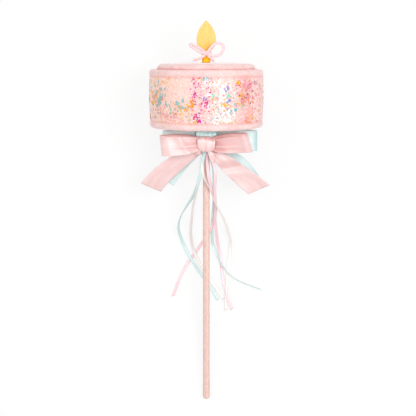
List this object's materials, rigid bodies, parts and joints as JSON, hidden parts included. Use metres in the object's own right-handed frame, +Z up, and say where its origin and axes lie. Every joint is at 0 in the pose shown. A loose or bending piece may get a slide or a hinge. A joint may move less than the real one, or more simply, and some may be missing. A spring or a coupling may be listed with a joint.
{
  "type": "toy magic wand",
  "caption": "Soft toy wand: a stuffed round cake with a flame candle on a fabric-covered stick, tied with satin bows and narrow ribbon streamers.",
  "frame": {"origin": "on the table top, at the middle of the lying wand's box", "axes": "+Z up, +Y along the wand towards the cake, +X to the right as seen from above"},
  "size_m": [0.1268, 0.3762, 0.116],
  "materials": {
    "wood": "bare softwood dowel",
    "sleeve_fabric": "plain woven cotton",
    "filling": "polyester fibre",
    "glitter_fabric": "fabric with chunky iridescent glitter flakes",
    "velvet": "short plush pile",
    "gold_glitter": "glitter vinyl",
    "gold_leatherette": "soft leatherette, low sheen",
    "cord": "soft twisted cord",
    "pink_satin": "satin",
    "mint_satin": "satin",
    "ivory_satin": "satin",
    "thread": "sewing thread"
  },
  "bodies": {
    "wand": {"stick_dowel": "wood", "stick_sleeve": "sleeve_fabric", "stick_end_cap": "sleeve_fabric", "head_stuffing": "filling", "side_panel": "glitter_fabric", "base_panel": "velvet", "icing_top": "velvet", "upper_trim": "velvet", "lower_trim": "velvet", "bow_band": "pink_satin", "bow_stitch": "thread", "mint_gather": "mint_satin", "mint_loop_left": "mint_satin", "mint_loop_right": "mint_satin", "pink_knot": "pink_satin", "pink_loop_left": "pink_satin", "pink_loop_right": "pink_satin"},
    "candle": {"candle_stem": "gold_glitter", "flame_front": "gold_leatherette", "flame_back": "gold_leatherette", "candle_bow_knot": "cord", "candle_bow_loop_left": "cord", "candle_bow_loop_right": "cord", "candle_bow_tail_left": "cord", "candle_bow_tail_right": "cord"},
    "left_pink_tail": {"pink_tail_left": "pink_satin"},
    "right_pink_tail": {"pink_tail_right": "pink_satin"},
    "left_mint_tail": {"mint_tail_left": "mint_satin"},
    "right_mint_tail": {"mint_tail_right": "mint_satin"},
    "left_mint_streamer": {"streamer_mint_left": "mint_satin"},
    "left_ivory_streamer": {"streamer_ivory_left": "ivory_satin"},
    "left_pink_streamer": {"streamer_pink_left": "pink_satin"},
    "right_pink_streamer": {"streamer_pink_right": "pink_satin"},
    "right_mint_streamer": {"streamer_mint_right": "mint_satin"},
    "right_ivory_streamer": {"streamer_ivory_right": "ivory_satin"}
  },
  "joints": [
    {"name": "candle_tilt", "type": "hinge", "parent": "wand", "child": "candle", "pos_m": [0, 0.15072, 0.06376], "axis": [1, 0, 0], "range_deg": [-15, 15], "stiffness_Nm_per_rad": 0.02},
    {"name": "left_pink_tail_swing", "type": "hinge", "parent": "wand", "child": "left_pink_tail", "pos_m": [0, 0.06799, 0.04891], "axis": [0, 0, 1], "range_deg": [-2, 10]},
    {"name": "right_pink_tail_swing", "type": "hinge", "parent": "wand", "child": "right_pink_tail", "pos_m": [0, 0.06799, 0.04891], "axis": [0, 0, 1], "range_deg": [-10, 2]},
    {"name": "left_mint_tail_swing", "type": "hinge", "parent": "wand", "child": "left_mint_tail", "pos_m": [0, 0.06799, 0.04891], "axis": [0, 0, 1], "range_deg": [-4, 10]},
    {"name": "right_mint_tail_swing", "type": "hinge", "parent": "wand", "child": "right_mint_tail", "pos_m": [0, 0.06799, 0.04891], "axis": [0, 0, 1], "range_deg": [-10, 4]},
    {"name": "left_mint_streamer_swing", "type": "hinge", "parent": "wand", "child": "left_mint_streamer", "pos_m": [0, 0.06799, 0.04891], "axis": [0, 0, 1], "range_deg": [-18, 0]},
    {"name": "left_ivory_streamer_swing", "type": "hinge", "parent": "wand", "child": "left_ivory_streamer", "pos_m": [0, 0.06799, 0.04891], "axis": [0, 0, 1], "range_deg": [-18, 0]},
    {"name": "left_pink_streamer_swing", "type": "hinge", "parent": "wand", "child": "left_pink_streamer", "pos_m": [0, 0.06799, 0.04891], "axis": [0, 0, 1], "range_deg": [0, 18]},
    {"name": "right_pink_streamer_swing", "type": "hinge", "parent": "wand", "child": "right_pink_streamer", "pos_m": [0, 0.06799, 0.04891], "axis": [0, 0, 1], "range_deg": [0, 18]},
    {"name": "right_mint_streamer_swing", "type": "hinge", "parent": "wand", "child": "right_mint_streamer", "pos_m": [0, 0.06799, 0.04891], "axis": [0, 0, 1], "range_deg": [0, 18]},
    {"name": "right_ivory_streamer_swing", "type": "hinge", "parent": "wand", "child": "right_ivory_streamer", "pos_m": [0, 0.06799, 0.04891], "axis": [0, 0, 1], "range_deg": [0, 18]}
  ]
}
